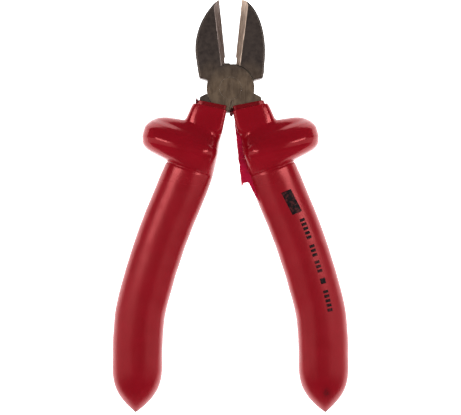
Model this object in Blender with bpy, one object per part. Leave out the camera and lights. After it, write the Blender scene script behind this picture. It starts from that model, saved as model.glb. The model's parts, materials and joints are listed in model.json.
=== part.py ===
"""Diagonal cutting pliers with dipped and guarded insulating handles, 165 mm long when shut.

The pliers lie flat: +Y points to the jaws, +X to the right handle, +Z up. The origin is the
centre of the footprint, on the surface that the two guards rest on.

Each half is drawn in its own lever frame, in millimetres: the pivot is at the origin, the
cutting edge runs up the Y axis as it does when the jaws are shut, and the jaw is on -X and
the handle on +X. The rear half is the same drawing mirrored in X. An empty on the pivot then
turns each half by half the opening.
"""

import math

import bmesh
import bpy
from mathutils import Vector

MM = 0.001

# Driving dimensions, in millimetres and degrees.
OPENING = 14.2  # how far the jaws stand open at rest
JAW_REACH = 35.0  # pivot to jaw tip
HEAD_HALF_WIDTH = 11.8
HEAD_HALF_THICKNESS = 5.0
BEVEL_WIDTHS = (1.3, 2.2)  # of the front bevel, at the throat and at the tip
TIP_BACK_THICKNESS = 3.4  # how far the back face still is from the middle plane at the tip
DISC_RADIUS = 9.35  # the lap joint's half discs
RIVET_RADIUS = 3.0
RIVET_HEAD_RADIUS = 4.2
RIVET_HEAD_DEPTH = 1.1
LAP_GAP = 0.2  # between the two half discs
DISC_CLEARANCE = 0.25  # around each half disc in the other lever
RIVET_CLEARANCE = 0.1
EDGE_GAP = 0.05  # from each cutting edge to the closing line, at the tip
EDGE_HOLLOW = 0.45  # the same at the throat, so that the tips meet first
THROAT = 12.4  # where the cutting edge ends, above the pivot
LAYER_GAP = 0.25  # between steel, inner coat, collar and outer coat
GUARD_HALF_THICKNESS = 12.0  # the guards carry the pliers on a flat surface
COAT_RIM_DROP = 1.6  # how far the outer coat stops short of the inner one
TANG_END_COVER = 9.0  # coat beyond the end of the steel tang

# The handle's middle line in the lever frame, from the neck to the tip of the grip.
HANDLE_LINE = [
    (6.3, -6.5),
    (9.9, -22.0),
    (13.3, -38.0),
    (19.6, -62.0),
    (23.7, -86.0),
    (24.0, -99.0),
    (22.4, -115.0),
    (21.2, -130.0),
]

# Stations of the lofts: distance along the line, reach towards the other handle, reach
# away from it, half thickness, and how square the section is (2 is an ellipse).
OUTER_STATIONS = [
    (1.6, 6.05, 6.1, 6.6, 6.0),
    (2.0, 6.35, 6.45, 6.95, 5.0),
    (3.2, 6.6, 6.6, 7.0, 4.6),
    (6.5, 7.1, 6.75, 7.05, 4.0),
    (9.3, 7.6, 7.2, 7.2, 3.6),
    (10.3, 7.75, 9.6, 7.8, 3.4),
    (11.2, 7.85, 14.0, 8.6, 3.3),
    (12.2, 7.95, 17.4, 9.5, 3.3),
    (13.8, 8.2, 19.9, 10.6, 3.4),
    (16.0, 8.6, 21.4, 11.6, 3.5),
    (18.0, 8.9, 21.7, GUARD_HALF_THICKNESS, 3.5),
    (20.2, 9.15, 21.2, 11.6, 3.4),
    (22.4, 9.35, 20.2, 10.8, 3.2),
    (24.2, 9.5, 18.2, 9.9, 3.0),
    (25.6, 9.6, 14.6, 9.0, 2.8),
    (26.6, 9.65, 10.6, 8.1, 2.6),
    (27.2, 9.7, 9.5, 7.6, 2.5),
]
GRIP = (9.8, 9.8, 7.6, 2.4)
GRIP_STATIONS = 14
END_LENGTH = 13.6  # the pointed dome at the end of the grip
END_STATIONS = 7
END_RADIUS = 0.9  # the drip the dome ends in

COLLAR_STATIONS = [
    (12.6, 6.7, 8.0, 7.0, 3.0),
    (13.4, 6.9, 14.0, 8.0, 3.2),
    (15.0, 7.1, 17.8, 9.2, 3.4),
    (17.6, 7.35, 19.8, 10.2, 3.5),
    (20.4, 7.6, 19.2, 9.8, 3.4),
    (22.8, 7.8, 16.6, 9.0, 3.2),
    (24.2, 7.9, 12.4, 8.0, 3.0),
    (25.0, 7.9, 9.0, 7.3, 2.8),
]
INNER_STATIONS = [
    (0.0, 5.8, 5.6, 5.9, 7.0),
    (3.0, 5.8, 5.5, 5.9, 6.0),
    (9.0, 5.5, 5.4, 5.8, 4.0),
    (13.0, 5.9, 5.8, 5.8, 3.2),
    (26.0, 7.2, 7.0, 5.9, 2.6),
    (32.0, 7.7, 7.6, 5.8, 2.4),
    (80.0, 7.7, 7.7, 5.7, 2.4),
]
TANG_STATIONS = [
    (1.0, 4.1, 4.1, 4.7, 6.0),
    (8.0, 4.2, 4.2, 4.5, 6.0),
    (20.0, 4.9, 4.9, 3.9, 5.0),
    (40.0, 5.4, 5.4, 3.5, 4.5),
    (80.0, 5.2, 5.2, 3.3, 4.5),
]

RED = (0.30, 0.012, 0.022)
INNER_RED = (0.24, 0.010, 0.018)
STEEL = (0.085, 0.068, 0.056)


def clear_scene():
    for obj in list(bpy.data.objects):
        bpy.data.objects.remove(obj)


def material(name, colour, roughness, metallic):
    made = bpy.data.materials.new(name)
    made.use_nodes = True
    shader = made.node_tree.nodes["Principled BSDF"]
    shader.inputs["Base Color"].default_value = (*colour, 1.0)
    shader.inputs["Roughness"].default_value = roughness
    shader.inputs["Metallic"].default_value = metallic
    return made


def add_object(name, bm, parent, look=None):
    """Makes an object of a mesh drawn in millimetres. With no look it is a hidden helper."""
    bmesh.ops.scale(bm, vec=(MM, MM, MM), verts=bm.verts)
    bmesh.ops.recalc_face_normals(bm, faces=bm.faces)
    mesh = bpy.data.meshes.new(name)
    bm.to_mesh(mesh)
    bm.free()
    obj = bpy.data.objects.new(name, mesh)
    bpy.context.scene.collection.objects.link(obj)
    obj.parent = parent
    if look is None:
        obj.hide_render = True
        obj.display_type = "WIRE"
    else:
        mesh.materials.append(look)
        mesh.shade_smooth()
        mesh.set_sharp_from_angle(angle=math.radians(35))
    return obj


def boolean(obj, other, operation):
    cut = obj.modifiers.new(other.name, "BOOLEAN")
    cut.operation = operation
    cut.solver = "EXACT"
    cut.object = other


# Shapes


def catmull_rom(points, share):
    """The point at a share, from 0 to 1, of a smooth curve through points of any dimension."""
    spans = len(points) - 1
    place = min(max(share, 0.0), 1.0) * spans
    i = min(int(place), spans - 1)
    t = place - i
    p1, p2 = Vector(points[i]), Vector(points[i + 1])
    p0 = Vector(points[i - 1]) if i > 0 else 2 * p1 - p2
    p3 = Vector(points[i + 2]) if i + 2 <= spans else 2 * p2 - p1
    return 0.5 * (
        2 * p1
        + (p2 - p0) * t
        + (2 * p0 - 5 * p1 + 4 * p2 - p3) * t**2
        + (3 * p1 - p0 - 3 * p2 + p3) * t**3
    )


class Path:
    """The handle's middle line, walked by length."""

    SAMPLES = 600

    def __init__(self, points):
        self.points = [catmull_rom(points, k / self.SAMPLES) for k in range(self.SAMPLES + 1)]
        self.lengths = [0.0]
        for a, b in zip(self.points, self.points[1:]):
            self.lengths.append(self.lengths[-1] + (b - a).length)

    @property
    def length(self):
        return self.lengths[-1]

    def at(self, s):
        """The point at length s, and the direction away from the other handle there."""
        i = max(k for k in range(self.SAMPLES) if k == 0 or self.lengths[k] <= s)
        a, b = self.points[i], self.points[i + 1]
        along = (b - a).normalized()
        point = a + along * (s - self.lengths[i])
        return point, Vector((-along.y, along.x))


def rim_tilt(s):
    """The coats' top rims lie about nine degrees off square to the handle; the tilt dies out."""
    return math.radians(9.0) * max(0.0, 1.0 - s / 10.0)


def section(path, station, hand, count):
    """One ring of a loft: a squared ellipse, wider on one side than on the other."""
    s, towards, away, thick, power = station
    centre, outward = path.at(s)
    tilt = rim_tilt(s)
    across = Vector(
        (
            outward.x * math.cos(tilt) + outward.y * math.sin(tilt),
            outward.y * math.cos(tilt) - outward.x * math.sin(tilt),
        )
    )
    ring = []
    for k in range(count):
        angle = 2 * math.pi * k / count
        c, n = math.cos(angle), math.sin(angle)
        reach = away if c > 0 else towards
        u = math.copysign(abs(c) ** (2 / power), c) * reach
        w = math.copysign(abs(n) ** (2 / power), n) * thick
        place = centre + across * u
        ring.append((hand * place.x, place.y, w))
    return ring


def loft(path, stations, hand, count):
    """A closed skin through the rings at these stations."""
    bm = bmesh.new()
    rings = [[bm.verts.new(p) for p in section(path, row, hand, count)] for row in stations]
    for a, b in zip(rings, rings[1:]):
        for k in range(count):
            bm.faces.new((a[k], a[(k + 1) % count], b[(k + 1) % count], b[k]))
    bm.faces.new(rings[0])
    bm.faces.new(rings[-1])
    return bm


def prism(outline, low, high, hand):
    """An outline in the lever frame, extruded from one height to another."""
    bm = bmesh.new()
    face = bm.faces.new([bm.verts.new((hand * x, y, low)) for x, y in outline])
    made = bmesh.ops.extrude_face_region(bm, geom=[face])
    top = [v for v in made["geom"] if isinstance(v, bmesh.types.BMVert)]
    bmesh.ops.translate(bm, vec=(0, 0, high - low), verts=top)
    return bm


def disc(centre, radius, low, high, count=64):
    points = [2 * math.pi * k / count for k in range(count)]
    outline = [(centre[0] + radius * math.cos(a), centre[1] + radius * math.sin(a)) for a in points]
    return prism(outline, low, high, 1)


def turned(profile, count=48):
    """A solid turned about the pivot axis, from (radius, height) points from bottom to top."""
    bm = bmesh.new()
    rings = []
    for radius, height in profile:
        angles = [2 * math.pi * k / count for k in range(count)]
        ring = [(radius * math.cos(a), radius * math.sin(a), height) for a in angles]
        rings.append([bm.verts.new(p) for p in ring])
    for a, b in zip(rings, rings[1:]):
        for k in range(count):
            bm.faces.new((a[k], a[(k + 1) % count], b[(k + 1) % count], b[k]))
    bm.faces.new(rings[0])
    bm.faces.new(rings[-1])
    return bm


# Steel


def jaw_outline():
    """The jaw, from its tip round the curved back to the joint."""
    widest = 10.0
    steps = 18
    back = []
    for k in range(1, steps + 1):
        angle = 0.5 * math.pi * k / steps
        x = -HEAD_HALF_WIDTH * math.sin(angle) ** 1.1
        back.append((x, widest + (JAW_REACH - widest) * math.cos(angle) ** 0.98))
    corner = [(-11.6, 5.8), (-8.7, 4.3), (-6.0, 0.0)]
    notch = [(-1.0, 0.0), (-1.0, THROAT - 0.7), (-EDGE_HOLLOW, THROAT)]
    return [(-EDGE_GAP, JAW_REACH)] + back + corner + notch


def shoulder_outline():
    """The root of the tang, from the joint into the coats."""
    return [
        (2.0, 0.0),
        (8.8, -3.1),
        (11.4, -4.8),
        (11.3, -5.8),
        (9.7, -6.2),
        (10.3, -10.3),
        (4.0, -10.8),
        (3.0, -6.5),
        (1.6, -3.0),
    ]


def cut_plane(bm, points, hand, away):
    """Cuts off what lies on the far side of a plane through three points, and caps the cut."""
    a, b, c = (Vector((hand * x, y, z)) for x, y, z in points)
    normal = (b - a).cross(c - a)
    if normal.dot(Vector((hand * away[0], away[1], away[2]))) < 0:
        normal.negate()
    geometry = bm.verts[:] + bm.edges[:] + bm.faces[:]
    cut = bmesh.ops.bisect_plane(
        bm, geom=geometry, dist=1e-5, plane_co=a, plane_no=normal, clear_outer=True
    )
    rim = [e for e in cut["geom_cut"] if isinstance(e, bmesh.types.BMEdge)]
    bmesh.ops.contextual_create(bm, geom=rim)


def jaw(hand):
    """A jaw plate with its eased outline, narrow front bevel, wide back relief and thin tip."""
    half = HEAD_HALF_THICKNESS
    bm = prism(jaw_outline(), -half, half, hand)
    eased = [
        e
        for e in bm.edges
        if abs(e.verts[0].co.z - e.verts[1].co.z) < 1e-6
        and min(abs(v.co.x) for v in e.verts) > 1.1
        and min(v.co.y for v in e.verts) > 4.0
    ]
    bmesh.ops.bevel(bm, geom=eased, offset=0.45, segments=1, affect="EDGES")
    narrow, wide = BEVEL_WIDTHS
    root = (-EDGE_HOLLOW, THROAT, half - narrow)
    tip = (-EDGE_GAP, JAW_REACH, half - wide)
    cut_plane(bm, (root, tip, (-EDGE_HOLLOW - narrow, THROAT, half)), hand, (1, 0, 1))
    cut_plane(bm, (root, tip, (-4.6, THROAT, -half)), hand, (1, 0, -1))
    back = ((0.0, THROAT, -half), (-5.0, THROAT, -half), (0.0, JAW_REACH, -TIP_BACK_THICKNESS))
    cut_plane(bm, back, hand, (0, 0, -1))
    return bm


def lever(name, hand, layer, path, parent, look):
    """One forged lever. Its half disc is on the front (layer 1) or the back (layer -1)."""
    half = HEAD_HALF_THICKNESS
    lap = layer * LAP_GAP / 2
    outside = -layer * (half + 1.0)
    body = add_object(name, jaw(hand), parent, look)
    boss = disc((0, 0), DISC_RADIUS, *sorted((lap, layer * half)))
    shoulder = prism(shoulder_outline(), -half, half, hand)
    end = path.length - TANG_END_COVER
    tang = loft(path, TANG_STATIONS + [(end, 3.6, 3.6, 2.8, 3.0)], hand, 16)
    pocket = disc((0, 0), DISC_RADIUS + DISC_CLEARANCE, *sorted((lap, outside)))
    clear = RIVET_CLEARANCE
    seat = [
        (RIVET_RADIUS + clear, -layer * 0.5),
        (RIVET_RADIUS + clear, layer * (half - RIVET_HEAD_DEPTH)),
        (RIVET_HEAD_RADIUS + clear, layer * half),
        (RIVET_HEAD_RADIUS + clear, layer * (half + 1)),
    ]
    boolean(body, add_object(name + "_boss", boss, parent), "UNION")
    boolean(body, add_object(name + "_shoulder", shoulder, parent), "UNION")
    boolean(body, add_object(name + "_tang", tang, parent), "UNION")
    boolean(body, add_object(name + "_pocket", pocket, parent), "DIFFERENCE")
    boolean(body, add_object(name + "_rivet_seat", turned(seat), parent), "DIFFERENCE")
    return body


def rivet(parent, look):
    half = HEAD_HALF_THICKNESS
    profile = [
        (RIVET_HEAD_RADIUS, -half),
        (RIVET_RADIUS, -half + RIVET_HEAD_DEPTH),
        (RIVET_RADIUS, half - RIVET_HEAD_DEPTH),
        (RIVET_HEAD_RADIUS, half),
    ]
    return add_object("pivot_rivet", turned(profile), parent, look)


# Insulation


def grown(stations, by, first_s=None):
    """The same stations, grown all round, for the space a neighbour leaves."""
    rows = [(s, a + by, b + by, t + by, p) for s, a, b, t, p in stations]
    if first_s is not None:
        rows[0] = (first_s, *rows[0][1:])
    return rows


def outer_stations(path):
    """The neck and guard, then the even grip, then the dome that narrows as a parabola."""
    rows = list(OUTER_STATIONS)
    towards, away, thick, power = GRIP
    start, dome = 28.4, path.length - END_LENGTH
    for k in range(GRIP_STATIONS):
        s = start + (dome - start) * k / (GRIP_STATIONS - 1)
        rows.append((s, towards, away, thick, power))
    for k in range(1, END_STATIONS + 1):
        share = k / END_STATIONS
        narrow = max(1 - share**2, END_RADIUS / towards)
        s = dome + END_LENGTH * share
        flat = 2.0 + (power - 2.0) * (1 - share)
        rows.append((s, towards * narrow, away * narrow, thick * narrow, flat))
    return rows


def inner_stations(path):
    end = path.length - TANG_END_COVER
    taper = [(end - 6.0, 7.0, 7.0, 5.4, 2.4), (end + 1.2, 5.2, 5.2, 4.4, 2.4)]
    return INNER_STATIONS + taper + [(end + 2.6, 2.6, 2.6, 2.4, 2.2)]


def tang_space(path):
    end = path.length - TANG_END_COVER
    top = (-1.0, 4.5, 4.5, 5.2, 8.0)
    neck = (4.0, 4.5, 4.5, 5.2, 8.0)
    rows = grown(TANG_STATIONS[1:], LAYER_GAP + 0.1)
    return [top, neck] + rows + [(end + 0.3, 3.95, 3.95, 3.15, 3.0)]


def joint_space(parent, name):
    """The room that both half discs sweep through, between the lips of the coats."""
    room = HEAD_HALF_THICKNESS + 0.2
    bm = disc((0, 0), DISC_RADIUS + 0.3, -room, room)
    return add_object(name, bm, parent)


def coats(side, hand, path, parent, looks):
    """The inner coat over the tang, the guard collar on it, and the outer coat over both."""
    room = joint_space(parent, side + "_joint_room")
    inner = add_object(
        side + "_inner_coat", loft(path, inner_stations(path), hand, 24), parent, looks["inner"]
    )
    hollow = add_object(side + "_tang_room", loft(path, tang_space(path), hand, 20), parent)
    boolean(inner, hollow, "DIFFERENCE")
    boolean(inner, room, "DIFFERENCE")

    sleeve = grown(inner_stations(path), LAYER_GAP, first_s=-1.0)
    sleeve_room = add_object(side + "_sleeve_room", loft(path, sleeve, hand, 24), parent)
    collar = add_object(
        side + "_guard_collar", loft(path, COLLAR_STATIONS, hand, 28), parent, looks["collar"]
    )
    boolean(collar, sleeve_room, "DIFFERENCE")

    outer = add_object(
        side + "_outer_coat", loft(path, outer_stations(path), hand, 32), parent, looks["outer"]
    )
    wide = grown(COLLAR_STATIONS, LAYER_GAP)
    wide[0] = (wide[0][0] - LAYER_GAP, *wide[0][1:])
    wide[-1] = (wide[-1][0] + LAYER_GAP, *wide[-1][1:])
    collar_room = add_object(side + "_collar_room", loft(path, wide, hand, 28), parent)
    boolean(outer, sleeve_room, "DIFFERENCE")
    boolean(outer, collar_room, "DIFFERENCE")
    boolean(outer, room, "DIFFERENCE")


# Assembly


def reach_of_grip(path):
    """How far the tip of the grip lies behind the pivot when the jaws stand open."""
    end, _ = path.at(path.length)
    half = math.radians(OPENING / 2)
    return -(end.x * math.sin(half) + end.y * math.cos(half))


def reach_of_jaw():
    half = math.radians(OPENING / 2)
    return JAW_REACH * math.cos(half) - EDGE_GAP * math.sin(half)


def main():
    clear_scene()
    path = Path(HANDLE_LINE)
    pivot_y = (reach_of_grip(path) - reach_of_jaw()) / 2
    steel = material("blackened_steel", STEEL, 0.42, 1.0)
    rivet_steel = material("rivet_steel", STEEL, 0.35, 1.0)
    looks = {
        "outer": material("red_outer_coat", RED, 0.28, 0.0),
        "inner": material("red_inner_coat", INNER_RED, 0.35, 0.0),
        "collar": material("guard_collar", INNER_RED, 0.45, 0.0),
    }
    halves = (("front", "right", 1, 1), ("rear", "left", -1, -1))
    for place, side, hand, layer in halves:
        turn = bpy.data.objects.new(place + "_half_turn", None)
        bpy.context.scene.collection.objects.link(turn)
        turn.location = (0, pivot_y * MM, GUARD_HALF_THICKNESS * MM)
        turn.rotation_euler.z = hand * math.radians(OPENING / 2)
        lever(place + "_lever", hand, layer, path, turn, steel)
        coats(side, hand, path, turn, looks)
        if place == "front":
            rivet(turn, rivet_steel)


main()
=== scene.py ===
"""Visual model of the insulated diagonal cutting pliers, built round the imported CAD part.

Shapes are drawn in millimetres in a lever frame: the pivot is the origin, the cutting edge
runs up +Y as it does when the jaws are shut, the jaw is on -X and the handle on +X. The left
handle's half is the same drawing mirrored in X. Half.matrix puts a drawing in the row frame.
"""

import json
import math

import bmesh
import bpy
import numpy as np
from mathutils import Matrix, Vector, noise


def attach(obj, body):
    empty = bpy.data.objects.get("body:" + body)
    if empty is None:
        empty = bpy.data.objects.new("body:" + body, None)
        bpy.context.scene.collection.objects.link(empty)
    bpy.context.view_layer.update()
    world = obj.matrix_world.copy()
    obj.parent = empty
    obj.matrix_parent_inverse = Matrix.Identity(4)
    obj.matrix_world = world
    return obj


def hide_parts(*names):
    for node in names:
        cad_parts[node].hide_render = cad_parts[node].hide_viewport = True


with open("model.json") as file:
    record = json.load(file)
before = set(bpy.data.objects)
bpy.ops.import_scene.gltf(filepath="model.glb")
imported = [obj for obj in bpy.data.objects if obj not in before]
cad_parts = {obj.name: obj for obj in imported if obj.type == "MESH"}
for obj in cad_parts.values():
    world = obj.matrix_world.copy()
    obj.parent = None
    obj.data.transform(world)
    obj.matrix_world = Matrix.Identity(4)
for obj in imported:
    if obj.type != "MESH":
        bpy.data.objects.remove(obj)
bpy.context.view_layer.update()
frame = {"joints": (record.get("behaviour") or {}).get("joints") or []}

MM = 0.001

# Driving dimensions that repeat the CAD part's, in millimetres and degrees.
OPENING = 14.2
JAW_REACH = 35.0
HEAD_HALF_THICKNESS = 5.0
TIP_BACK_THICKNESS = 3.4
DISC_RADIUS = 9.35
RIVET_HEAD_RADIUS = 4.2
EDGE_GAP = 0.05
EDGE_HOLLOW = 0.45
THROAT = 12.4
HANDLE_LINE = [
    (6.3, -6.5),
    (9.9, -22.0),
    (13.3, -38.0),
    (19.6, -62.0),
    (23.7, -86.0),
    (24.0, -99.0),
    (22.4, -115.0),
    (21.2, -130.0),
]

# Dimensions of the visual model's own, finer than the CAD part's.
LAP_GAP = 0.12
DISC_CLEARANCE = 0.1
END_LENGTH = 19.0  # the dome at the end of the grip
END_RADIUS = 1.1  # the drip the dome ends in
NECK_LENGTH = 10.5  # as far as this the neck has a flattened outer edge
SHOULDER = 2.4  # how wide that edge is
GUARD_END = 28.0  # where the guard has run out into the grip

VOXEL = 0.14  # the grid that softens the forgings' edges
SKIN_SEGMENTS = 144  # round the coats

# The outer coat along the handle: distance, reach towards the other handle, reach away from
# it, half thickness, squareness of the section (2 is an ellipse), and the ring's tilt.
OUTER_STATIONS = [
    (1.6, 6.35, 7.0, 7.1, 5.4, -8.0),
    (3.2, 6.6, 7.3, 7.1, 5.4, -6.0),
    (6.5, 7.1, 7.5, 7.1, 5.2, -3.0),
    (9.3, 7.6, 7.8, 7.15, 4.2, 0.0),
    (10.2, 7.7, 8.7, 7.25, 3.2, 2.0),
    (11.0, 7.8, 11.4, 7.5, 2.4, 3.5),
    (12.0, 7.9, 15.0, 8.0, 2.2, 3.5),
    (13.6, 8.15, 18.8, 9.05, 2.1, 2.0),
    (15.2, 8.45, 20.75, 10.25, 2.6, 0.5),
    (17.2, 8.75, 21.75, 11.4, 3.1, -1.2),
    (19.5, 9.05, 21.6, 11.88, 3.2, -2.8),
    (21.0, 9.2, 21.0, 11.7, 3.1, -3.2),
    (22.4, 9.35, 20.3, 11.0, 3.0, -3.4),
    (24.2, 9.5, 18.2, 9.9, 2.8, -3.0),
    (25.6, 9.6, 14.6, 8.9, 2.6, -2.0),
    (26.6, 9.65, 10.6, 8.1, 2.5, -1.0),
    (27.3, 9.7, 9.2, 7.4, 2.5, 0.0),
    (28.4, 9.75, 9.6, 7.6, 2.4, 0.0),
    (33.0, 9.8, 9.8, 7.6, 2.4, 0.0),
]
OUTER_WALL = 0.8
OUTER_UNEVENNESS = (0.10, 6.0)  # depth, and the size of its swells
SMUDGE = (22.4, -122.2, 6.8)  # where the black mark near the right grip's end is
FILM_HEIGHT = 3.9  # of the flash's plates above the middle plane
INNER_STATIONS = [
    (0.0, 5.8, 6.1, 6.1, 6.5, -9.0),
    (4.0, 5.8, 6.0, 6.1, 6.0, -6.0),
    (9.0, 5.8, 5.8, 6.0, 5.0, 0.0),
]
INNER_WALL = 0.55


# Curves


def ramp(x, low, high):
    """0 below low, 1 above high, smooth between."""
    t = np.clip((x - low) / (high - low), 0, 1)
    return t * t * (3 - 2 * t)


def hermite(knots, values, at):
    """Smooth interpolation that never overshoots its knots (Fritsch-Carlson)."""
    knots, values, at = (np.asarray(a, float) for a in (knots, values, at))
    step = np.diff(knots)
    slope = np.diff(values) / step
    inner = slope[:-1] * slope[1:]
    weight_a, weight_b = 2 * step[1:] + step[:-1], step[1:] + 2 * step[:-1]
    with np.errstate(divide="ignore", invalid="ignore"):
        mean = (weight_a + weight_b) / (weight_a / slope[:-1] + weight_b / slope[1:])
    tangent = np.concatenate([[slope[0]], np.where(inner > 0, mean, 0.0), [slope[-1]]])
    at = np.clip(at, knots[0], knots[-1])
    i = np.clip(np.searchsorted(knots, at, side="right") - 1, 0, len(step) - 1)
    h = step[i]
    t = (at - knots[i]) / h
    return (
        values[i] * (1 + 2 * t) * (1 - t) ** 2
        + tangent[i] * h * t * (1 - t) ** 2
        + values[i + 1] * t**2 * (3 - 2 * t)
        + tangent[i + 1] * h * t**2 * (t - 1)
    )


def catmull_rom(points, share):
    """Points at shares from 0 to 1 of the smooth curve that the CAD handles also follow."""
    points = np.asarray(points, float)
    ends = [2 * points[0] - points[1], *points, 2 * points[-1] - points[-2]]
    padded = np.asarray(ends)
    place = np.clip(share, 0, 1) * (len(points) - 1)
    i = np.minimum(place.astype(int), len(points) - 2)
    t = (place - i)[:, None]
    p0, p1, p2, p3 = (padded[i + k] for k in range(4))
    return 0.5 * (
        2 * p1
        + (p2 - p0) * t
        + (2 * p0 - 5 * p1 + 4 * p2 - p3) * t**2
        + (3 * p1 - p0 - 3 * p2 + p3) * t**3
    )


class Path:
    """The handle's middle line, walked by length."""

    def __init__(self, points):
        self.points = catmull_rom(points, np.linspace(0, 1, 1201))
        legs = np.linalg.norm(np.diff(self.points, axis=0), axis=1)
        self.lengths = np.concatenate([[0.0], np.cumsum(legs)])
        self.length = self.lengths[-1]

    def at(self, s):
        """Points at lengths s, and the directions away from the other handle there."""
        s = np.asarray(s, float)
        i = np.clip(np.searchsorted(self.lengths, s, side="right") - 1, 0, len(self.points) - 2)
        leg = self.points[i + 1] - self.points[i]
        along = leg / np.linalg.norm(leg, axis=1, keepdims=True)
        point = self.points[i] + along * (s - self.lengths[i])[:, None]
        return point, np.stack([-along[:, 1], along[:, 0]], 1)


PATH = Path(HANDLE_LINE)


def columns(stations, s):
    """The station table's columns at lengths s."""
    table = np.asarray(stations, float)
    return [hermite(table[:, 0], table[:, k], s) for k in range(1, table.shape[1])]


def sections(half, stations, s):
    """A coat's sections at lengths s, with the dome and the drip at the handle's end."""
    towards, away, thick, power, tilt = columns(stations, s)
    towards = towards + half.swell * (1 - ramp(s, 6.0, 14.0))
    share = np.clip((s - (PATH.length - END_LENGTH)) / END_LENGTH, 0, 1)
    narrow = np.maximum(1 - share**2.7, 0)
    drip = np.clip((share - 0.86) / 0.14, 0, 1)
    tip = END_RADIUS / towards * np.sqrt(np.clip(1 - drip**2.6, 1e-4, 1))
    narrow = np.where(share > 0, np.maximum(narrow, tip * (share > 0.8)), 1.0)
    flatter = np.where(share > 0, np.maximum(1 - share**3.2, tip * (share > 0.8)), 1.0)
    power = 2 + (power - 2) * (1 - share)
    return [towards * narrow, away * narrow, thick * flatter, power, tilt]


def section_height(u, towards, away, thick, power, s):
    """Half the section's height at distance u from the middle line, outward positive."""
    squarer = 1 + 1.6 * (1 - ramp(s, 7.0, 12.0))
    inner_power = np.maximum(power, 2.8 - 0.4 * ramp(s, 24.0, GUARD_END)) * squarer
    power = np.where((u > 0) | (s >= GUARD_END), power, inner_power)
    reach = np.where(u > 0, away, towards)
    height = thick * np.maximum(1 - np.abs(u / reach) ** power, 0) ** (1 / power)
    eased = thick - 0.28 * np.maximum(u - (away - SHOULDER), 0)
    return np.where(s < NECK_LENGTH, np.minimum(height, eased), height)


def placed(s, tilt, u, w):
    """Points of the lever frame at distances u and heights w on the sections at lengths s."""
    centre, outward = PATH.at(s)
    turn = np.radians(np.ravel(tilt))
    across = np.stack(
        [
            outward[:, 0] * np.cos(turn) - outward[:, 1] * np.sin(turn),
            outward[:, 1] * np.cos(turn) + outward[:, 0] * np.sin(turn),
        ],
        1,
    )
    place = centre[:, None] + across[:, None] * u[..., None]
    return np.concatenate([place, w[..., None]], 2)


def rings(s, cols, inset=0.0):
    """Rings of points, in the lever frame, for sections at lengths s."""
    towards, away, thick, power, tilt = (np.reshape(c, (-1, 1)) for c in cols)
    inset = np.reshape(inset, (-1, 1))
    towards, away, thick = towards - inset, away - inset, thick - inset
    angle = 2 * np.pi * np.arange(SKIN_SEGMENTS) / SKIN_SEGMENTS
    c, n = np.cos(angle)[None], np.sin(angle)[None]
    u = np.sign(c) * np.abs(c) ** 0.7 * np.where(c > 0, away, towards)
    w = np.sign(n) * section_height(u, towards, away, thick, power, np.reshape(s, (-1, 1)))
    return placed(s, tilt, u, w)


def uneven(points, s, depth, size):
    """Moves points in or out a little, as a dipped skin never is quite even."""
    centre, _ = PATH.at(s)
    middle = np.concatenate([centre, np.zeros((len(centre), 1))], 1)[:, None]
    radial = points - middle
    unit = radial / np.maximum(np.linalg.norm(radial, axis=2, keepdims=True), 1e-6)
    swell = [noise.noise(Vector(p) / size) for p in points.reshape(-1, 3)]
    return points + unit * np.reshape(swell, points.shape[:2] + (1,)) * depth


def creased(points, s):
    """Raises the crease that the dip left on both faces where the guard meets the neck."""
    centre, outward = PATH.at(s)
    away = points[..., :2] - centre[:, None]
    u = (away * outward[:, None]).sum(2)
    line = np.reshape(s, (-1, 1)) + 0.5 * u - 10.8
    near = np.exp(-(((u + 5.0) / 2.2) ** 2)) * np.sign(points[..., 2])
    near = near * ramp(np.abs(points[..., 2]), 4.5, 7.0)
    height = 0.16 * np.exp(-((line / 1.0) ** 2))
    return points + (near * height)[..., None] * np.array([0.0, 0.0, 1.0])


# Meshes


class Half:
    """One half of the pliers: its side, its body's name and where its lever frame lies."""

    def __init__(self, side, body, hand, layer, swell):
        self.side, self.body, self.hand, self.layer = side, body, hand, layer
        self.swell = swell  # how much nearer its neck comes to the other handle
        pivot = Vector(frame["joints"][0]["pos_m"])
        turn = Matrix.Rotation(hand * math.radians(OPENING / 2), 4, "Z")
        flip = Matrix.Diagonal((hand * MM, MM, MM, 1.0))
        self.matrix = Matrix.Translation(pivot) @ turn @ flip


FRONT = Half("right", "front_half", 1, 1, 0.65)
REAR = Half("left", "rear_half", -1, -1, 0.0)


def mesh_of(points, faces):
    """A mesh in the lever frame, not yet an object."""
    mesh = bpy.data.meshes.new("drawing")
    mesh.from_pydata([tuple(p) for p in points], [], faces)
    mesh.update()
    return mesh


def loft(stack):
    """A closed skin through a stack of rings."""
    levels, count = stack.shape[:2]
    k = np.arange(count)
    faces = []
    for level in range(levels - 1):
        a, b = level * count, (level + 1) * count
        quad = np.stack([a + k, a + (k + 1) % count, b + (k + 1) % count, b + k], 1)
        faces.extend(quad.tolist())
    faces.append(k[::-1].tolist())
    faces.append(((levels - 1) * count + k).tolist())
    return mesh_of(stack.reshape(-1, 3), faces)


def prism(outline, low, high):
    """An outline, extruded from one height to another."""
    bm = bmesh.new()
    face = bm.faces.new([bm.verts.new((x, y, low)) for x, y in outline])
    made = bmesh.ops.extrude_face_region(bm, geom=[face])
    top = [v for v in made["geom"] if isinstance(v, bmesh.types.BMVert)]
    bmesh.ops.translate(bm, vec=(0, 0, high - low), verts=top)
    bmesh.ops.recalc_face_normals(bm, faces=bm.faces)
    mesh = bpy.data.meshes.new("drawing")
    bm.to_mesh(mesh)
    bm.free()
    return mesh


def disc(radius, low, high, count=160):
    """A round plate about the pivot."""
    angle = 2 * np.pi * np.arange(count) / count
    return prism(list(zip(radius * np.cos(angle), radius * np.sin(angle))), low, high)


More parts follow.
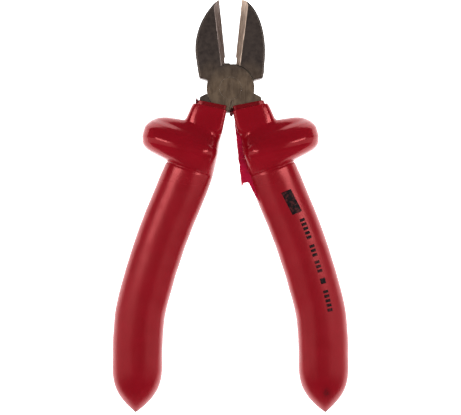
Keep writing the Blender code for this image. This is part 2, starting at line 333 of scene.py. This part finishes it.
def combined(mesh, steps, voxel=None, rounds=0):
    """The mesh after a list of (operation, mesh) Booleans, a remesh and rounds of smoothing."""
    helpers = [bpy.data.objects.new("drawing", m) for m in [mesh] + [m for _, m in steps]]
    for helper in helpers:
        bpy.context.scene.collection.objects.link(helper)
    body = helpers[0]
    for (operation, _), helper in zip(steps, helpers[1:]):
        cut = body.modifiers.new("cut", "BOOLEAN")
        cut.operation, cut.solver, cut.object = operation, "EXACT", helper
    if voxel:
        remesh = body.modifiers.new("soften", "REMESH")
        remesh.mode, remesh.voxel_size = "VOXEL", voxel
        soften = body.modifiers.new("round", "SMOOTH")
        soften.factor, soften.iterations = 0.5, rounds
    graph = bpy.context.evaluated_depsgraph_get()
    result = bpy.data.meshes.new_from_object(body.evaluated_get(graph))
    for helper in helpers:
        bpy.data.objects.remove(helper)
    return result


def coordinates(mesh):
    flat = np.empty(len(mesh.vertices) * 3)
    mesh.vertices.foreach_get("co", flat)
    return flat.reshape(-1, 3)


def normals(mesh):
    flat = np.empty(len(mesh.vertices) * 3)
    mesh.vertex_normals.foreach_get("vector", flat)
    return flat.reshape(-1, 3)


def paint(mesh, name, values):
    """Stores a number for each vertex, for the materials to read."""
    mesh.attributes.new(name, "FLOAT", "POINT").data.foreach_set("value", values.astype(np.float32))


def piece(name, mesh, half, look, slot, *nodes):
    """Makes a drawing an object in the row frame that rides with its half of the pliers."""
    mesh.transform(half.matrix)
    bm = bmesh.new()
    bm.from_mesh(mesh)
    bmesh.ops.recalc_face_normals(bm, faces=bm.faces)
    bm.to_mesh(mesh)
    bm.free()
    mesh.materials.clear()
    mesh.materials.append(look)
    mesh.shade_smooth()
    obj = bpy.data.objects.new(name, mesh)
    bpy.context.scene.collection.objects.link(obj)
    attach(obj, half.body)
    if nodes:
        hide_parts(*nodes)
    return obj


# Materials


class Nodes:
    """A short way to write a material's nodes."""

    def __init__(self, name):
        self.material = bpy.data.materials.new(name)
        self.material.use_nodes = True
        self.tree = self.material.node_tree
        self.shader = self.tree.nodes["Principled BSDF"]
        self.place = self.new("ShaderNodeTexCoord").outputs["Object"]

    def new(self, kind, **settings):
        node = self.tree.nodes.new(kind)
        for key, value in settings.items():
            setattr(node, key, value)
        return node

    def put(self, socket, value):
        if isinstance(value, bpy.types.NodeSocket):
            self.tree.links.new(value, socket)
        else:
            socket.default_value = value

    def noise(self, size, detail=3.0, roughness=0.5, stretch=(1, 1, 1), turn=0.0):
        """Noise whose blotches are about size millimetres across."""
        mapping = self.new("ShaderNodeMapping")
        self.put(mapping.inputs["Vector"], self.place)
        mapping.inputs["Rotation"].default_value = (0, 0, turn)
        mapping.inputs["Scale"].default_value = [k / (size * MM) for k in stretch]
        node = self.new("ShaderNodeTexNoise")
        self.put(node.inputs["Vector"], mapping.outputs["Vector"])
        self.put(node.inputs["Scale"], 1.0)
        self.put(node.inputs["Detail"], detail)
        self.put(node.inputs["Roughness"], roughness)
        return node.outputs["Fac"]

    def attribute(self, name):
        return self.new("ShaderNodeAttribute", attribute_name=name).outputs["Fac"]

    def math(self, operation, a, b):
        node = self.new("ShaderNodeMath", operation=operation)
        self.put(node.inputs[0], a)
        self.put(node.inputs[1], b)
        return node.outputs[0]

    def ranged(self, value, low, high, to_low=0.0, to_high=1.0):
        node = self.new("ShaderNodeMapRange")
        node.interpolation_type = "SMOOTHSTEP"
        for key, number in zip(("Value", "From Min", "From Max", "To Min", "To Max"),
                               (value, low, high, to_low, to_high)):
            self.put(node.inputs[key], number)
        return node.outputs["Result"]

    def mix(self, share, a, b):
        node = self.new("ShaderNodeMix", data_type="RGBA")
        self.put(node.inputs["Factor"], share)
        self.put(node.inputs["A"], (*a, 1) if isinstance(a, tuple) else a)
        self.put(node.inputs["B"], (*b, 1) if isinstance(b, tuple) else b)
        return node.outputs["Result"]

    def bump(self, height, depth, after=None):
        """Bump from a 0 to 1 height that stands for depth millimetres."""
        node = self.new("ShaderNodeBump")
        self.put(node.inputs["Height"], height)
        self.put(node.inputs["Distance"], depth * MM)
        self.put(node.inputs["Strength"], 1.0)
        if after:
            self.put(node.inputs["Normal"], after)
        return node.outputs["Normal"]

    def finish(self, **values):
        for key, value in values.items():
            self.put(self.shader.inputs[key.replace("_", " ")], value)
        return self.material


def vinyl(name, deep, bright, roughness):
    """Dipped vinyl: glossy, faintly wavy, a little cloudy, with specks of dust under the skin."""
    n = Nodes(name)
    cloud = n.ranged(n.noise(7.0, 3.0), 0.35, 0.7)
    colour = n.mix(cloud, deep, bright)
    speck = n.ranged(n.noise(0.5, 1.0), 0.72, 0.80, 0.0, 0.35)
    colour = n.mix(speck, colour, tuple(0.35 * c for c in deep))
    # darker where the mark attribute says: the black mark and the grips' tips
    dark_mark = n.math("MULTIPLY", n.attribute("dark_mark"), n.ranged(n.noise(0.8, 3.0), 0.3, 0.6, 0.3, 0.9))
    colour = n.mix(dark_mark, colour, (0.02, 0.006, 0.008))
    wave = n.bump(n.noise(3.2, 2.0), 0.020)
    peel = n.bump(n.noise(0.45, 2.0), 0.0012, wave)
    held = n.math("MULTIPLY", n.attribute("held"), 0.14)
    scuff = n.ranged(n.noise(2.6, 6.0, 0.65), 0.52, 0.75, roughness, roughness + 0.10)
    scuff = n.math("ADD", scuff, held)
    return n.finish(
        Base_Color=colour,
        Roughness=scuff,
        Normal=peel,
        IOR=1.52,
        Specular_IOR_Level=0.8,
        Specular_Tint=(1.0, 0.25, 0.25, 1.0),
        Subsurface_Weight=0.10,
        Subsurface_Radius=(0.0016, 0.0003, 0.0003),
        Subsurface_Scale=1.0,
    )


def print_ink(name):
    """Black ink, worn through to the red in places."""
    n = Nodes(name)
    worn = n.ranged(n.noise(1.1, 5.0, 0.7), 0.46, 0.62, 0.0, 0.8)
    colour = n.mix(worn, (0.007, 0.004, 0.005), (0.110, 0.020, 0.022))
    rough = n.ranged(n.noise(0.4, 3.0), 0.3, 0.7, 0.40, 0.58)
    return n.finish(Base_Color=colour, Roughness=rough, IOR=1.5, Specular_IOR_Level=0.1)


def forged_steel(name, turn, ground_and_sheen_low, ground_and_sheen_high):
    """Blackened forging. Attributes say where it was ground afterwards, and where it is worn. The
    ground colours passed in are a darker or a lighter copy for each lever, as painted light.
    """
    n = Nodes(name)
    mottle = n.noise(1.6, 5.0, 0.6)
    grain = n.noise(0.5, 3.0, 0.6, (1.0, 0.09, 1.0), turn)
    patch = n.noise(3.0, 3.0, 0.55, (1.0, 0.55, 1.0), turn)
    dark = n.mix(n.ranged(mottle, 0.3, 0.72), (0.046, 0.033, 0.029), (0.070, 0.051, 0.043))
    joint = n.mix(n.ranged(patch, 0.36, 0.66), (0.090, 0.058, 0.038), (0.175, 0.120, 0.078))
    joint = n.mix(n.ranged(grain, 0.40, 0.66, 0.0, 0.45), joint, (0.185, 0.132, 0.092))
    # ground steel with grain, its brightness per lever painted light: a shaded copy on one lever, a lit
    # copy on the other
    ground = n.mix(n.ranged(grain, 0.35, 0.65), ground_and_sheen_low, ground_and_sheen_high)
    colour = n.mix(n.attribute("joint"), dark, joint)
    colour = n.mix(n.attribute("bevel"), colour, ground)
    worn = n.math("MULTIPLY", n.attribute("edge"), n.ranged(n.noise(0.9, 3.0), 0.35, 0.6, 0.2, 1.0))
    colour = n.mix(worn, colour, (0.30, 0.25, 0.20))
    scratch = n.bump(grain, 0.010)
    pitting = n.bump(mottle, 0.012, scratch)
    rough = n.ranged(mottle, 0.25, 0.75, 0.36, 0.56)
    return n.finish(Base_Color=colour, Metallic=0.85, Roughness=rough, Normal=pitting, IOR=1.6)


RED_DEEP = (0.276, 0.0037, 0.0105)
RED_BRIGHT = (0.300, 0.0042, 0.0122)
looks = {
    "outer": vinyl("outer_vinyl", RED_DEEP, RED_BRIGHT, 0.16),
    "inner": vinyl("inner_vinyl", (0.180, 0.0030, 0.0070), (0.215, 0.0035, 0.0080), 0.22),
    # painted shade: the drips are the coats' red vinyl, painted near-black for the shadow they sit in
    "nub_painted_shade": vinyl("vinyl_drip_painted_shade", (0.028, 0.0015, 0.004), (0.045, 0.002, 0.006), 0.25),
    # painted light: the flash is the coats' vinyl in a lighter, pinker copy, so the thin plates show
    # lit
    "film": vinyl("vinyl_film_painted_light", (0.40, 0.0060, 0.035), (0.46, 0.0080, 0.045), 0.18),
    "ink": print_ink("print_ink"),
    # The front lever's bevel has the darker ground colours, painted shade, and the rear lever's the
    # lighter ones, a painted highlight.
    "steel_front": forged_steel(
        "forged_steel_front_shaded_bevel", math.radians(-OPENING / 2), (0.20, 0.142, 0.122), (0.34, 0.265, 0.235)
    ),
    "steel_rear": forged_steel(
        "forged_steel_rear_lit_bevel", math.radians(OPENING / 2), (0.50, 0.360, 0.275), (0.72, 0.550, 0.440)
    ),
}


# Steel


def jaw_outline(width, start, lean, flare):
    """The jaw from its tip round its back, to the joint and up the cutting edge.

    The back is widest at start. A higher lean cuts more off beside the tip, and flare sets
    the rear corner out.
    """
    angle = 0.5 * np.pi * np.arange(1, 73) / 72
    x = -width * np.sin(angle) ** lean
    y = start + (JAW_REACH - start) * np.cos(angle) ** 0.98
    corner = [(-11.75 - flare, 7.8), (-11.62 - flare, 6.0), (-11.35 - flare, 5.55)]
    corner += [(-8.7, 4.3), (-6.0, 0.0)]
    notch = [(-1.0, 0.0), (-1.0, THROAT - 0.8), (-0.8, THROAT - 0.25), (-EDGE_HOLLOW, THROAT)]
    return [(-EDGE_GAP, JAW_REACH)] + list(zip(x, y)) + corner + notch


def cut_plane(bm, points, away):
    """Cuts off what lies on the far side of a plane through three points, and caps the cut."""
    a, b, c = (Vector(p) for p in points)
    normal = (b - a).cross(c - a)
    if normal.dot(Vector(away)) < 0:
        normal.negate()
    geometry = bm.verts[:] + bm.edges[:] + bm.faces[:]
    cut = bmesh.ops.bisect_plane(
        bm, geom=geometry, dist=1e-5, plane_co=a, plane_no=normal, clear_outer=True
    )
    rim = [e for e in cut["geom_cut"] if isinstance(e, bmesh.types.BMEdge)]
    bmesh.ops.contextual_create(bm, geom=rim)


def jaw(back, bevel_widths):
    """A jaw plate with eased edges, its bevel, its back relief and its thinner tip."""
    half = HEAD_HALF_THICKNESS
    bm = bmesh.new()
    bm.from_mesh(prism(jaw_outline(*back), -half, half))
    eased = [
        e
        for e in bm.edges
        if abs(e.verts[0].co.z - e.verts[1].co.z) < 1e-6
        and min(abs(v.co.x) for v in e.verts) > 1.1
        and min(v.co.y for v in e.verts) > 4.0
    ]
    bmesh.ops.bevel(bm, geom=eased, offset=0.5, segments=2, affect="EDGES")
    narrow, wide = bevel_widths
    root = (-EDGE_HOLLOW, THROAT, half - narrow)
    tip = (-EDGE_GAP, JAW_REACH, half - wide)
    cut_plane(bm, (root, tip, (-EDGE_HOLLOW - narrow, THROAT, half)), (1, 0, 1))
    cut_plane(bm, (root, tip, (-4.6, THROAT, -half)), (1, 0, -1))
    thinned = ((0.0, THROAT, -half), (-5.0, THROAT, -half), (0.0, JAW_REACH, -TIP_BACK_THICKNESS))
    cut_plane(bm, thinned, (0, 0, -1))
    bmesh.ops.recalc_face_normals(bm, faces=bm.faces)
    mesh = bpy.data.meshes.new("drawing")
    bm.to_mesh(mesh)
    bm.free()
    return mesh


def convexity(mesh):
    """How sharply the surface turns outward at each vertex."""
    at, facing = coordinates(mesh), normals(mesh)
    pairs = np.empty(len(mesh.edges) * 2, int)
    mesh.edges.foreach_get("vertices", pairs)
    a, b = pairs.reshape(-1, 2).T
    span = at[a] - at[b]
    turn = np.einsum("ij,ij->i", facing[a] - facing[b], span) / np.maximum(
        np.einsum("ij,ij->i", span, span), 1e-9
    )
    total = np.zeros(len(at))
    share = np.zeros(len(at))
    for end in (a, b):
        np.add.at(total, end, turn)
        np.add.at(share, end, 1.0)
    return total / np.maximum(share, 1.0)


def joined(meshes):
    """Several meshes as one, without a Boolean."""
    bm = bmesh.new()
    for mesh in meshes:
        bm.from_mesh(mesh)
    whole = bpy.data.meshes.new("drawing")
    bm.to_mesh(whole)
    bm.free()
    return whole


def lever(half, back, bevel_widths, look, node):
    """One forging: jaw, half disc and shoulder, with its ground and worn places marked."""
    thick = HEAD_HALF_THICKNESS
    lap = half.layer * LAP_GAP / 2
    pocket = sorted((lap, -half.layer * (thick + 1.0)))
    shoulder = [
        (2.0, 0.0),
        (8.75, -3.05),
        (9.3, -3.4),
        (11.2, -4.65),
        (11.4, -5.0),
        (11.45, -6.4),
        (12.2, -10.5),
        (2.4, -11.0),
        (1.35, -6.5),
        (1.1, -3.0),
    ]
    layer = sorted((lap, half.layer * thick))
    lug = [(-1.5, 8.0), (0.95, 8.0), (0.95, 9.73), (-1.5, 10.03)]  # the throat's flat floor
    groove = prism([(-0.16, -4.5), (-2.3, -9.9), (0.2, -10.1)], thick - 0.5, thick + 1.0)
    cuts = [("DIFFERENCE", groove)] if half is FRONT else []
    solids = [combined(disc(DISC_RADIUS, *layer), cuts), prism(lug, *layer)]
    for solid in (combined(jaw(back, bevel_widths), [], VOXEL), prism(shoulder, -thick, thick)):
        solids.append(combined(solid, [("DIFFERENCE", disc(DISC_RADIUS + DISC_CLEARANCE, *pocket))]))
    mesh = combined(joined(solids), [], VOXEL, 3)
    seat = disc(RIVET_HEAD_RADIUS + 0.025, -thick - 1, thick + 1)
    mesh = combined(mesh, [("DIFFERENCE", seat)])
    at, facing = coordinates(mesh), normals(mesh)
    top = ramp(np.abs(facing[:, 2]), 0.9, 0.98)
    blend = 10.2 + 0.9 * np.sin(at[:, 0] * 0.7)
    joint = 1 - ramp(at[:, 1], blend - 3.4, blend + 2.4)
    from_pivot = np.linalg.norm(at[:, :2], axis=1)
    outside = ramp(from_pivot, DISC_RADIUS, DISC_RADIUS + 0.4)
    behind = 0.3 if half is FRONT else 0.85
    joint = joint * (1 - outside * np.where(at[:, 1] < 0, behind, 0.2))
    joint = joint * (1 - 0.5 * ramp(at[:, 1], 1.0, 9.0))
    joint = joint * (1 - 0.35 * np.exp(-(((from_pivot - DISC_RADIUS) / 0.7) ** 2)))
    inward = facing[:, 0] > 0.2
    bevel = inward * (at[:, 1] > 9.0) * ramp(facing[:, 2], 0.05, 0.3)
    paint(mesh, "joint", joint * np.maximum(top, 0.45))
    paint(mesh, "bevel", bevel.astype(float))
    paint(mesh, "edge", ramp(convexity(mesh), 0.9, 3.2))
    return piece(node + "_forging", mesh, half, look, "forged_steel", node)


def rivet():
    """The rivet, ground flush, so that only a hairline shows round it."""
    thick = HEAD_HALF_THICKNESS
    mesh = disc(RIVET_HEAD_RADIUS, -thick, thick)
    count = len(mesh.vertices)
    paint(mesh, "joint", np.ones(count))
    paint(mesh, "bevel", np.zeros(count))
    paint(mesh, "edge", np.zeros(count))
    obj = piece("rivet", mesh, FRONT, looks["steel_front"], "rivet_steel", "pivot_rivet")
    obj.data.set_sharp_from_angle(angle=math.radians(35))


# Insulation


def room():
    """What the two half discs sweep, which the coats' lips leave free."""
    reach = HEAD_HALF_THICKNESS + 0.1
    return disc(DISC_RADIUS + 0.2, -reach, reach)


def sleeve(half, stations, s, rim, wall, depth, unevenness):
    """A coat that climbs the inside, rounds the lip and runs down the outside."""
    inside = np.linspace(rim + depth, rim + wall, 10)
    lip = np.linspace(np.pi, 0, 9)
    along = np.concatenate([inside, rim + wall / 2 - wall / 2 * np.sin(lip), s])
    inset = np.concatenate([np.full(10, wall), wall / 2 * (1 - np.cos(lip)), np.zeros(len(s))])
    points = rings(along, sections(half, stations, along), inset)
    points = creased(uneven(points, along, *unevenness), along)
    return combined(loft(points), [("DIFFERENCE", room())])


def coats(half):
    """Both layers of dipped vinyl on one handle."""
    end = PATH.length - END_LENGTH
    s = np.concatenate(
        [
            np.linspace(2.05, 9.0, 24),
            np.linspace(9.2, 30.0, 105),
            np.linspace(30.6, end, 90),
            end + END_LENGTH * np.linspace(0.02, 1.0, 48),
        ]
    )
    outer = sleeve(half, OUTER_STATIONS, s, 1.6, OUTER_WALL, 8.0, OUTER_UNEVENNESS)
    at = coordinates(outer)
    paint(outer, "held", 1 - ramp(at[:, 1], -44.0, -26.0))
    smudge = np.linalg.norm((at - np.array(SMUDGE)) * [1.0, 0.6, 1.0], axis=1)
    smudge = (half is FRONT) * np.exp(-((smudge / 1.25) ** 2))
    # darker on the right grip's black mark, and darker at the very tip of each grip's end
    paint(outer, "dark_mark", np.maximum(smudge, 0.6 - 0.6 * ramp(at[:, 1], -129.5, -128.5)))
    side = half.side
    nodes = (side + "_outer_coat", side + "_guard_collar")
    piece(side + "_outer_skin", outer, half, looks["outer"], "outer_vinyl", *nodes)
    inner = sleeve(half, INNER_STATIONS, np.linspace(0.3, 9.0, 24), 0.0, INNER_WALL, 7.0, (0.05, 3.0))
    piece(side + "_inner_skin", inner, half, looks["inner"], "inner_vinyl", side + "_inner_coat")


def plate(top, bottom):
    """A closed plate between two grids of points."""
    rows, count = top.shape[:2]
    k = np.arange(rows * count).reshape(rows, count)
    quads = np.stack([k[:-1, :-1], k[:-1, 1:], k[1:, 1:], k[1:, :-1]], 2).reshape(-1, 4)
    faces = quads.tolist() + (quads[:, ::-1] + rows * count).tolist()
    rim = np.concatenate([k[0, :-1], k[:-1, -1], k[-1, :0:-1], k[:0:-1, 0]])
    after = np.roll(rim, -1)
    skirt = np.stack([rim, rim + rows * count, after + rows * count, after], 1)
    faces += skirt.tolist()
    return mesh_of(np.concatenate([top.reshape(-1, 3), bottom.reshape(-1, 3)]), faces)


def ink(half):
    """A plain worn block and a row of plain ticks printed on the grip, with no letters."""
    marks = [(37.2, 46.8, -0.1, 3.9, 0.08)]
    for start, count in ((49.4, 5), (60.0, 3), (66.4, 3), (78.2, 5)):
        marks += [(start + 1.75 * k, start + 1.75 * k + 1.1, 2.5, 4.5, 0.0) for k in range(count)]
    marks.append((73.4, 75.6, 2.6, 4.6, 0.0))
    meshes = []
    for s0, s1, u0, u1, drift in marks:
        s = np.linspace(s0, s1, int((s1 - s0) / 0.3) + 2)
        u = np.linspace(u0, u1, int((u1 - u0) / 0.3) + 2)[None] + drift * (s - s0)[:, None]
        towards, away, thick, power, tilt = (
            np.reshape(c, (-1, 1)) for c in sections(half, OUTER_STATIONS, s)
        )
        w = section_height(u, towards, away, thick, power, np.reshape(s, (-1, 1)))
        skin = uneven(placed(s, tilt, u, w), s, *OUTER_UNEVENNESS)
        meshes.append(plate(skin + [0, 0, 0.03], skin - [0, 0, 0.06]))
    return piece("printed_marks", joined(meshes), half, looks["ink"], None)


def film(edge, root, rows):
    """A thin plate from a free edge to a line inside the coat, thickest at its root."""
    share = np.linspace(0, 1, rows)
    stops = np.linspace(0, 1, len(edge))
    edge, root = (
        np.stack([np.interp(share, stops, np.array(line)[:, k]) for k in (0, 1)], 1)
        for line in (edge, root)
    )
    across = np.linspace(0, 1, 14)[None, :, None]
    flat = edge[:, None] + (root - edge)[:, None] * across
    ripple = np.array([noise.noise(Vector((0.0, y * 0.45, 3.0))) for y in edge[:, 1]])[:, None, None]
    flat[..., 0] += 0.22 * (ripple * (1 - across))[..., 0]
    middle = FILM_HEIGHT + 0.9 * ripple * (1 - across)
    half_thick = 0.14 + 0.24 * across
    top = np.concatenate([flat, middle + half_thick], 2)
    return plate(top, np.concatenate([flat, middle - half_thick], 2))


def flash(half):
    """The thin flash of vinyl that hangs inside the right handle, torn when the coats parted."""
    films = (
        film(
            [(0.3, -8.4), (-0.05, -12.5), (-0.2, -19.0), (-0.3, -25.0), (-0.35, -31.0), (-0.42, -37.3)],
            [(4.0, -8.4), (4.5, -12.5), (5.0, -19.0), (5.5, -25.0), (6.0, -31.0), (6.2, -36.8)],
            110,
        ),
        film(
            [(-0.42, -36.8), (-0.45, -37.8), (-0.5, -38.7)],
            [(0.9, -36.8), (0.2, -37.7), (-0.38, -38.7)],
            20,
        ),
        film(
            [(1.2, -36.8), (2.5, -37.4), (3.1, -39.2), (3.9, -41.4), (4.9, -43.6), (6.3, -45.9)],
            [(6.2, -36.4), (6.4, -37.2), (6.8, -39.0), (7.3, -41.0), (8.0, -43.4), (9.0, -45.9)],
            40,
        ),
    )
    # its lighter, pinker vinyl is painted light
    return piece("flash", joined(films), half, looks["film"], "outer_vinyl")


def drop(half, name, start, end, radius):
    """A small bead of vinyl that set while it dripped."""
    start, end = np.array(start), np.array(end)
    share = np.linspace(0.02, 0.98, 24)
    size = radius * np.sqrt(np.sin(np.pi * share)) * (0.75 + 0.4 * share)
    axis = (end - start) / np.linalg.norm(end - start)
    side = np.cross(axis, [0.0, 0.0, 1.0])
    angle = 2 * np.pi * np.arange(32) / 32
    round_ = side * np.cos(angle)[:, None] + np.array([0.0, 0.0, 1.0]) * np.sin(angle)[:, None]
    stack = start + (end - start) * share[:, None, None] + round_[None] * size[:, None, None]
    swell = [1 + 0.25 * noise.noise(Vector(p) * 1.6) for p in stack.reshape(-1, 3)]
    middle = stack.mean(axis=1, keepdims=True)
    stack = middle + (stack - middle) * np.reshape(swell, stack.shape[:2] + (1,))
    # the bead's near-black vinyl is painted shade
    return piece(name, loft(stack), half, looks["nub_painted_shade"], "inner_vinyl")


# Stage


def stage():
    """A plain white floor, a dim world and soft lamps."""
    corners = [(-1.5, -1.5, 0), (1.5, -1.5, 0), (1.5, 1.5, 0), (-1.5, 1.5, 0)]
    floor = bpy.data.objects.new("floor", mesh_of(corners, [(0, 1, 2, 3)]))
    bpy.context.scene.collection.objects.link(floor)
    white = bpy.data.materials.new("floor")
    white.use_nodes = True
    shader = white.node_tree.nodes["Principled BSDF"]
    shader.inputs["Base Color"].default_value = (0.7, 0.7, 0.7, 1)
    shader.inputs["Roughness"].default_value = 0.8
    shader.inputs["Emission Color"].default_value = (1, 1, 1, 1)
    shader.inputs["Emission Strength"].default_value = 2.0
    floor.data.materials.append(white)

    world = bpy.data.worlds.new("studio")
    world.use_nodes = True
    background = world.node_tree.nodes["Background"]
    background.inputs["Color"].default_value = (0.55, 0.56, 0.58, 1)
    background.inputs["Strength"].default_value = 0.16
    bpy.context.scene.world = world

    boxes = (
        ("left_strip", (-0.20, 0.085, 0.33), 0.08, 0.18, 8.0),
        ("right_strip", (0.20, 0.085, 0.33), 0.08, 0.18, 8.0),
        ("left_softbox", (-0.50, -0.05, 0.42), 0.35, 1.00, 1.1),
        ("right_softbox", (0.50, -0.05, 0.42), 0.35, 1.00, 1.1),
        ("low_fill", (0.0, -0.75, 0.40), 1.40, 0.40, 1.4),
    )
    for name, place, width, length, radiance in boxes:
        data = bpy.data.lights.new(name, "AREA")
        data.shape, data.size, data.size_y = "RECTANGLE", width, length
        data.energy = radiance * math.pi * width * length
        lamp = bpy.data.objects.new(name, data)
        lamp.location = place
        lamp.visible_glossy = name != "low_fill"
        lamp.rotation_euler = (-lamp.location).to_track_quat("-Z", "Y").to_euler()
        bpy.context.scene.collection.objects.link(lamp)


def camera():
    """Straight above, with a long lens."""
    frame_width, lens, sensor = 0.1802, 150.0, 36.0
    data = bpy.data.cameras.new("camera")
    data.lens, data.sensor_width = lens, sensor
    obj = bpy.data.objects.new("camera", data)
    height = 0.012 + frame_width * lens / sensor
    obj.location = (0.0, -0.0005, height)
    bpy.context.scene.collection.objects.link(obj)
    bpy.context.scene.camera = obj
    bpy.context.scene.view_settings.view_transform = "Standard"


lever(FRONT, (11.9, 14.0, 1.65, 0.0), (2.0, 2.3), looks["steel_front"], "front_lever")
lever(REAR, (12.0, 10.0, 1.15, 0.45), (2.1, 2.7), looks["steel_rear"], "rear_lever")
rivet()
for one in (FRONT, REAR):
    coats(one)
flash(FRONT)
ink(FRONT)
drop(FRONT, "drip_between", (-0.35, -7.6, 5.1), (-1.1, -11.0, 5.5), 0.72)
drop(REAR, "drip_on_rim", (12.2, -8.3, 4.9), (12.5, -5.4, 5.3), 0.5)
stage()
camera()
